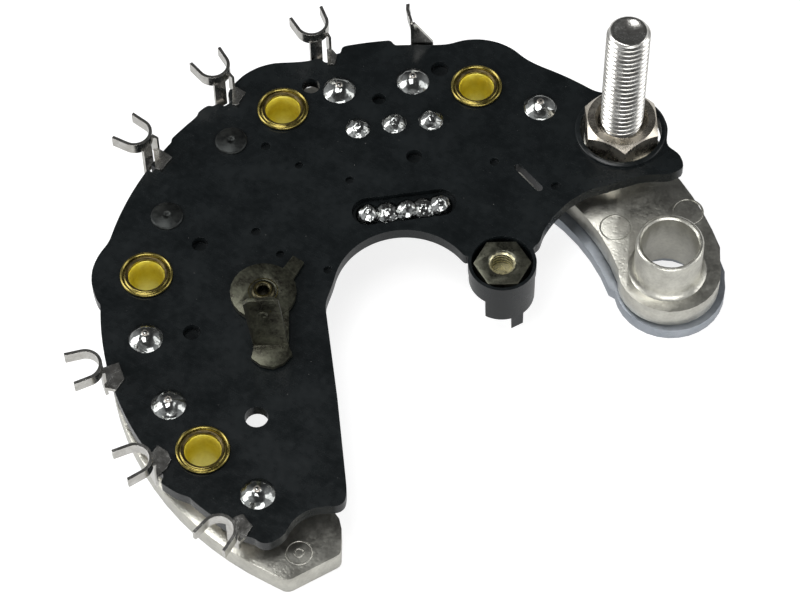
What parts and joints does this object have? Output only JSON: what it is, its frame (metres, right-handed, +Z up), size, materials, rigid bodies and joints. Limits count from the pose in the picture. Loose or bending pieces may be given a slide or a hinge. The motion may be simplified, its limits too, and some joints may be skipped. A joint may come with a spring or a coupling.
{
  "type": "alternator rectifier",
  "caption": "Crescent-shaped alternator rectifier: moulded terminal board over two diode heat sinks, with fork terminals, an output stud, a blade terminal and a mounting boss.",
  "frame": {"origin": "middle of the bounding box in plan, on the flat underside of the lower heat sink", "axes": "+Z up, along the output stud; +X towards the end with the boss; +Y towards the rim opposite the crescent's mouth"},
  "size_m": [0.1196, 0.1174, 0.0458],
  "materials": {
    "board_plastic": "glossy black moulding",
    "cast_metal": "rough cast light metal",
    "plate_metal": "smooth blue-grey plate",
    "tinned_strip": "tinned strip",
    "eyelet_brass": "yellow plated tube",
    "solder": "bright solder",
    "plated_steel": "nickel plated steel",
    "dark_strip": "dark plated strip",
    "diode_metal": "tinned copper",
    "bush_plastic": "insulating plastic",
    "diode_moulding": "moulded case"
  },
  "bodies": {
    "root": {"blade_rivet": "eyelet_brass", "blade_terminal": "dark_strip", "eyelet_1": "eyelet_brass", "eyelet_2": "eyelet_brass", "eyelet_3": "eyelet_brass", "eyelet_4": "eyelet_brass", "field_diode_1": "diode_moulding", "field_diode_2": "diode_moulding", "field_diode_3": "diode_moulding", "field_strap": "diode_metal", "fork_terminal_1": "tinned_strip", "fork_terminal_2": "tinned_strip", "fork_terminal_3": "tinned_strip", "fork_terminal_4": "tinned_strip", "fork_terminal_5": "tinned_strip", "fork_terminal_6": "tinned_strip", "hex_nut": "plated_steel", "hook_terminal": "tinned_strip", "insulating_bush_1": "bush_plastic", "insulating_bush_2": "bush_plastic", "insulating_bush_3": "bush_plastic", "insulating_bush_4": "bush_plastic", "long_solder_joint": "solder", "lower_heat_sink": "plate_metal", "neutral_link": "diode_metal", "output_stud": "plated_steel", "phase_link_1": "diode_metal", "phase_link_2": "diode_metal", "phase_link_3": "diode_metal", "post_tapped_plate": "dark_strip", "press_fit_diode_1": "diode_metal", "press_fit_diode_2": "diode_metal", "press_fit_diode_3": "diode_metal", "press_fit_diode_4": "diode_metal", "press_fit_diode_5": "diode_metal", "press_fit_diode_6": "diode_metal", "press_fit_diode_7": "diode_metal", "press_fit_diode_8": "diode_metal", "small_solder_joint_1": "solder", "small_solder_joint_2": "solder", "small_solder_joint_3": "solder", "solder_joint_1": "solder", "solder_joint_2": "solder", "solder_joint_3": "solder", "solder_joint_4": "solder", "solder_joint_5": "solder", "solder_joint_6": "solder", "solder_joint_7": "solder", "solder_joint_8": "solder", "terminal_board": "board_plastic", "upper_heat_sink": "cast_metal"}
  },
  "joints": []
}
